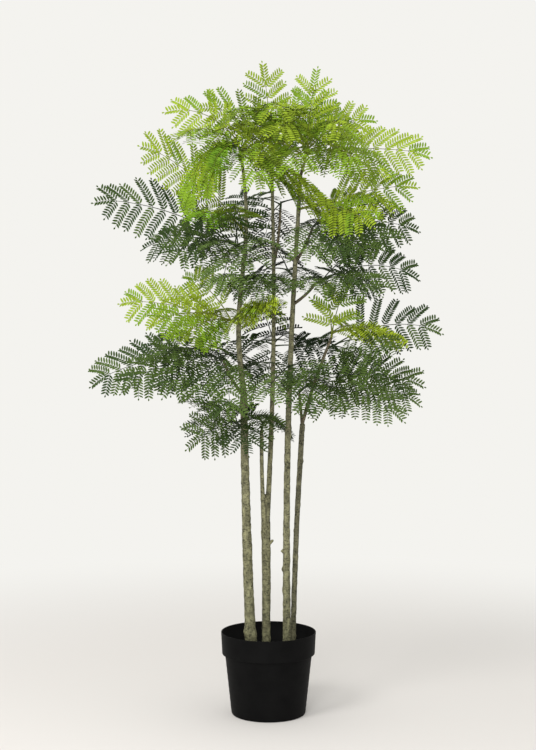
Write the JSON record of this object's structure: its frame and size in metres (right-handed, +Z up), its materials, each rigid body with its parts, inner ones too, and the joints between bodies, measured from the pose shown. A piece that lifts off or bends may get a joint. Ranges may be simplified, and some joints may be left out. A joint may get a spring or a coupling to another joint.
{
  "type": "artificial potted jacaranda tree",
  "caption": "Artificial jacaranda in a black plastic pot: slender bare stems and boughs with sprays of feathery fronds, lime green on top and dark green below.",
  "frame": {"origin": "centre of the pot's flat underside", "axes": "+Z up the stems, +X to the right and -Y to the front of the tree as it is shown"},
  "size_m": [0.9788, 0.6342, 1.8089],
  "materials": {
    "pot": "matt moulded",
    "fill": "rough cast, dark",
    "bark": "moulded bark, painted olive brown",
    "lime_foliage": "satin moulded leaf",
    "dark_foliage": "satin moulded leaf"
  },
  "bodies": {
    "root": {"pot": "pot", "pot_fill": "fill", "stem_left": "bark", "stem_middle": "bark", "stem_right": "bark", "stem_far_right": "bark", "leader_left": "bark", "bough_left": "bark", "stub_middle": "bark", "leader_middle": "bark", "bough_middle": "bark", "bough_middle_top": "bark", "bough_right_low": "bark", "bough_right_high": "bark", "bough_top_up": "bark", "bough_far_right": "bark", "bough_far_left": "bark", "spray_left_foot": "dark_foliage", "spray_left_low": "dark_foliage", "spray_left_mid": "lime_foliage", "spray_left_inner": "lime_foliage", "spray_left_high": "dark_foliage", "spray_left_front": "dark_foliage", "spray_left_upper": "lime_foliage", "spray_left_top": "lime_foliage", "spray_middle_foot": "dark_foliage", "spray_middle_mid": "dark_foliage", "spray_middle_high": "dark_foliage", "spray_middle_top": "lime_foliage", "spray_right_foot": "dark_foliage", "spray_right_low": "dark_foliage", "spray_right_high": "dark_foliage", "spray_right_back": "dark_foliage", "spray_right_top": "lime_foliage", "spray_right_edge": "lime_foliage", "spray_far_low": "dark_foliage", "spray_far_lime": "lime_foliage", "spray_far_dark": "dark_foliage"}
  },
  "joints": []
}
